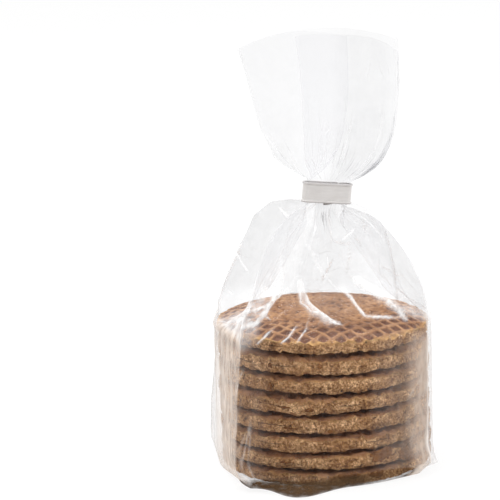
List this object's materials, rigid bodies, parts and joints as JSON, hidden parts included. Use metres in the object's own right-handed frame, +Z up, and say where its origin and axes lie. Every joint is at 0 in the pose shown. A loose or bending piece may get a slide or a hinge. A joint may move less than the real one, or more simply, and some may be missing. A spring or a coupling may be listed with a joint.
{
  "type": "bag of stroopwafels",
  "caption": "Stack of round syrup-filled waffle biscuits in a clear gusseted film bag, gathered above the stack by a flat wired band and flared open at the top.",
  "frame": {"origin": "on the axis of the biscuit stack, in the plane the bag stands on", "axes": "+Z up from the base through the neck to the open mouth; -Y is the bag's front panel, the one under the band's smooth side, +X to the right of it"},
  "size_m": [0.0976, 0.1038, 0.1948],
  "materials": {
    "film": "clear crisp plastic film, glossy, with creases",
    "band_plastic": "pale warm grey satin plastic over two edge wires"
  },
  "bodies": {
    "root": {"bag": "film", "band": "band_plastic"}
  },
  "joints": []
}
